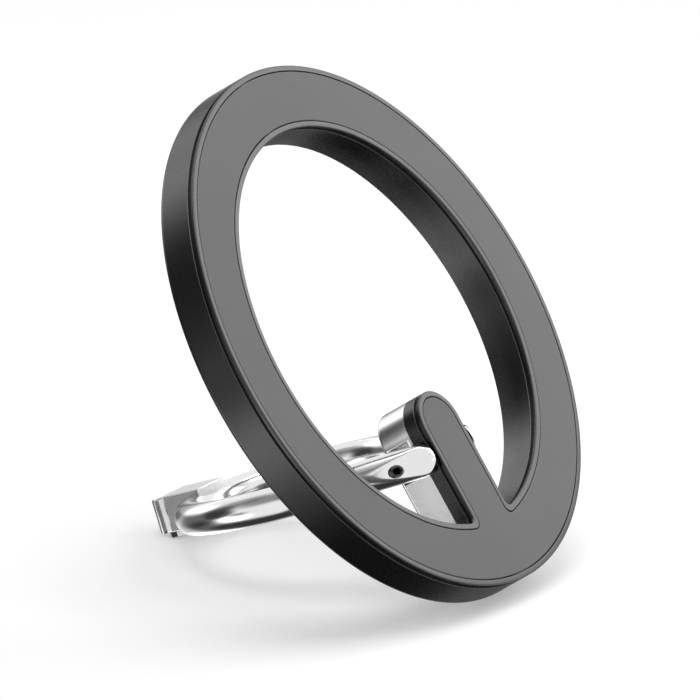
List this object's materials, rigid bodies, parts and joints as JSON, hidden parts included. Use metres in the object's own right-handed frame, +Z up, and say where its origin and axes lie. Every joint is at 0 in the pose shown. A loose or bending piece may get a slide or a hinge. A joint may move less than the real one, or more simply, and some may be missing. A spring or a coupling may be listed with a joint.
{
  "type": "phone ring holder",
  "caption": "Flat magnetic ring with an inward tongue and a hinged round finger ring that props it up; small end block on the finger ring.",
  "frame": {"origin": "middle of the footprint, on the floor the holder stands on", "axes": "+Z up; -Y towards the front pad, which leans back; +X along the hinge pin, to the right seen from behind"},
  "size_m": [0.057, 0.0412, 0.0487],
  "materials": {
    "black_metal": "satin",
    "grey_pad": "matte",
    "adhesive": "matte",
    "bright_metal": "polished",
    "plain_steel": "satin",
    "dark_steel": "satin",
    "magnet": "nickel plated",
    "black_rubber": "matte"
  },
  "bodies": {
    "holder": {"ring_housing": "black_metal", "front_pad": "grey_pad", "pad_adhesive": "adhesive", "back_plate": "plain_steel", "magnet_01": "magnet", "magnet_02": "magnet", "magnet_03": "magnet", "magnet_04": "magnet", "magnet_05": "magnet", "magnet_06": "magnet", "magnet_07": "magnet", "magnet_08": "magnet", "magnet_09": "magnet", "magnet_10": "magnet", "magnet_11": "magnet", "magnet_12": "magnet", "magnet_13": "magnet", "magnet_14": "magnet", "magnet_15": "magnet", "magnet_16": "magnet", "magnet_17": "magnet", "magnet_18": "magnet", "hinge_block": "bright_metal", "hinge_bushing": "plain_steel", "block_screw_upper": "plain_steel", "block_screw_lower": "plain_steel"},
    "finger_loop": {"finger_ring": "bright_metal", "hinge_pin": "dark_steel", "washer_left": "plain_steel", "washer_right": "plain_steel", "end_block": "bright_metal", "foot_pad": "black_rubber", "foot_plate": "plain_steel"}
  },
  "joints": [
    {"name": "finger_ring_hinge", "type": "hinge", "parent": "holder", "child": "finger_loop", "pos_m": [0, -0.00903, 0.01282], "axis": [1, 0, 0], "range_deg": [-76, 76]}
  ]
}
